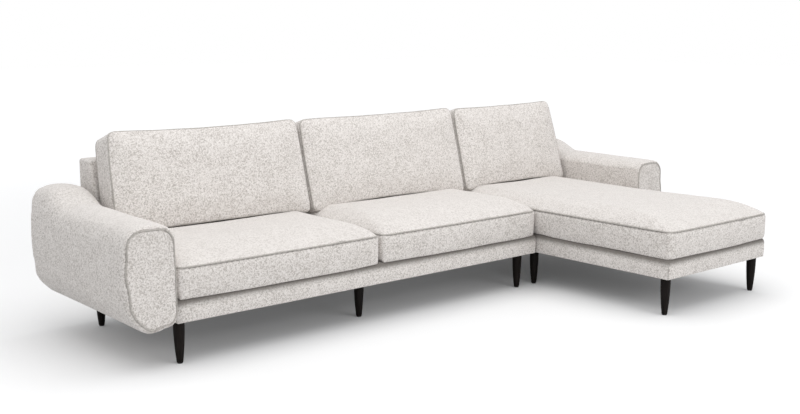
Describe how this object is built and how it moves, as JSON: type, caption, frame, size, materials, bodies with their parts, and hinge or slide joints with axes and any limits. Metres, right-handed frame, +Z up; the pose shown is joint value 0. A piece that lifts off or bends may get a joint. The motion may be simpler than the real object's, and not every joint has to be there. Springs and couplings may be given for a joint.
{
  "type": "sectional sofa",
  "caption": "Sectional sofa with a chaise, boxed cushions with corded seams, rounded arms that rise to the back, and dark tapered legs.",
  "frame": {"origin": "on the floor at the centre of the bounding box", "axes": "+X along the sofa towards the chaise, +Y towards the back, +Z up"},
  "size_m": [3.2768, 1.6612, 0.868],
  "materials": {
    "boucle": "matte",
    "cord": "matte",
    "foam": "matte",
    "dust_cloth": "matte",
    "leg_wood": "satin",
    "timber": "matte",
    "steel": "satin",
    "glide": "matte"
  },
  "bodies": {
    "sofa": {"leg_left_front": "leg_wood", "leg_left_rear": "leg_wood", "leg_middle_front": "leg_wood", "leg_middle_rear": "leg_wood", "leg_joint_front": "leg_wood", "leg_joint_rear": "leg_wood", "sofa_leg_glides": "glide", "sofa_leg_plates": "steel", "sofa_leg_bolts": "steel", "sofa_seat_frame": "timber", "sofa_dust_cover": "dust_cloth", "sofa_base_cover": "boucle", "sofa_seat_springs": "steel", "sofa_back_cover": "boucle", "sofa_back_frame": "timber", "sofa_arm_bolts": "steel", "left_arm_cover": "boucle", "left_arm_padding": "foam", "left_arm_cords": "cord", "left_arm_frame": "timber", "sofa_connector_jaws": "steel"},
    "chaise": {"leg_chaise_toe_left": "leg_wood", "leg_chaise_toe_right": "leg_wood", "leg_chaise_middle_left": "leg_wood", "leg_chaise_middle_right": "leg_wood", "leg_chaise_rear_left": "leg_wood", "leg_chaise_rear_right": "leg_wood", "chaise_leg_glides": "glide", "chaise_leg_plates": "steel", "chaise_leg_bolts": "steel", "chaise_seat_frame": "timber", "chaise_dust_cover": "dust_cloth", "chaise_base_cover": "boucle", "chaise_seat_springs": "steel", "chaise_back_cover": "boucle", "chaise_back_frame": "timber", "chaise_arm_bolts": "steel", "right_arm_cover": "boucle", "right_arm_padding": "foam", "right_arm_cords": "cord", "right_arm_frame": "timber", "chaise_connector_tongues": "steel"},
    "left_seat_cushion": {"left_seat_cushion_cover": "boucle", "left_seat_cushion_filling": "foam", "left_seat_cushion_cord": "cord"},
    "left_back_cushion": {"left_back_cushion_cover": "boucle", "left_back_cushion_filling": "foam", "left_back_cushion_cord": "cord"},
    "middle_seat_cushion": {"middle_seat_cushion_cover": "boucle", "middle_seat_cushion_filling": "foam", "middle_seat_cushion_cord": "cord"},
    "middle_back_cushion": {"middle_back_cushion_cover": "boucle", "middle_back_cushion_filling": "foam", "middle_back_cushion_cord": "cord"},
    "chaise_seat_cushion": {"chaise_seat_cushion_cover": "boucle", "chaise_seat_cushion_filling": "foam", "chaise_seat_cushion_cord": "cord"},
    "chaise_back_cushion": {"chaise_back_cushion_cover": "boucle", "chaise_back_cushion_filling": "foam", "chaise_back_cushion_cord": "cord"}
  },
  "joints": [
    {"name": "module_slide", "type": "slide", "parent": "sofa", "child": "chaise", "axis": [1, 0, 0], "range_m": [0, 0.5]},
    {"name": "left_seat_lift", "type": "slide", "parent": "sofa", "child": "left_seat_cushion", "axis": [0, 0, 1], "range_m": [0, 0.35]},
    {"name": "left_back_lift", "type": "slide", "parent": "left_seat_cushion", "child": "left_back_cushion", "axis": [0, 0, 1], "range_m": [0, 0.45]},
    {"name": "middle_seat_lift", "type": "slide", "parent": "sofa", "child": "middle_seat_cushion", "axis": [0, 0, 1], "range_m": [0, 0.35]},
    {"name": "middle_back_lift", "type": "slide", "parent": "middle_seat_cushion", "child": "middle_back_cushion", "axis": [0, 0, 1], "range_m": [0, 0.45]},
    {"name": "chaise_seat_lift", "type": "slide", "parent": "chaise", "child": "chaise_seat_cushion", "axis": [0, 0, 1], "range_m": [0, 0.35]},
    {"name": "chaise_back_lift", "type": "slide", "parent": "chaise_seat_cushion", "child": "chaise_back_cushion", "axis": [0, 0, 1], "range_m": [0, 0.45]}
  ]
}
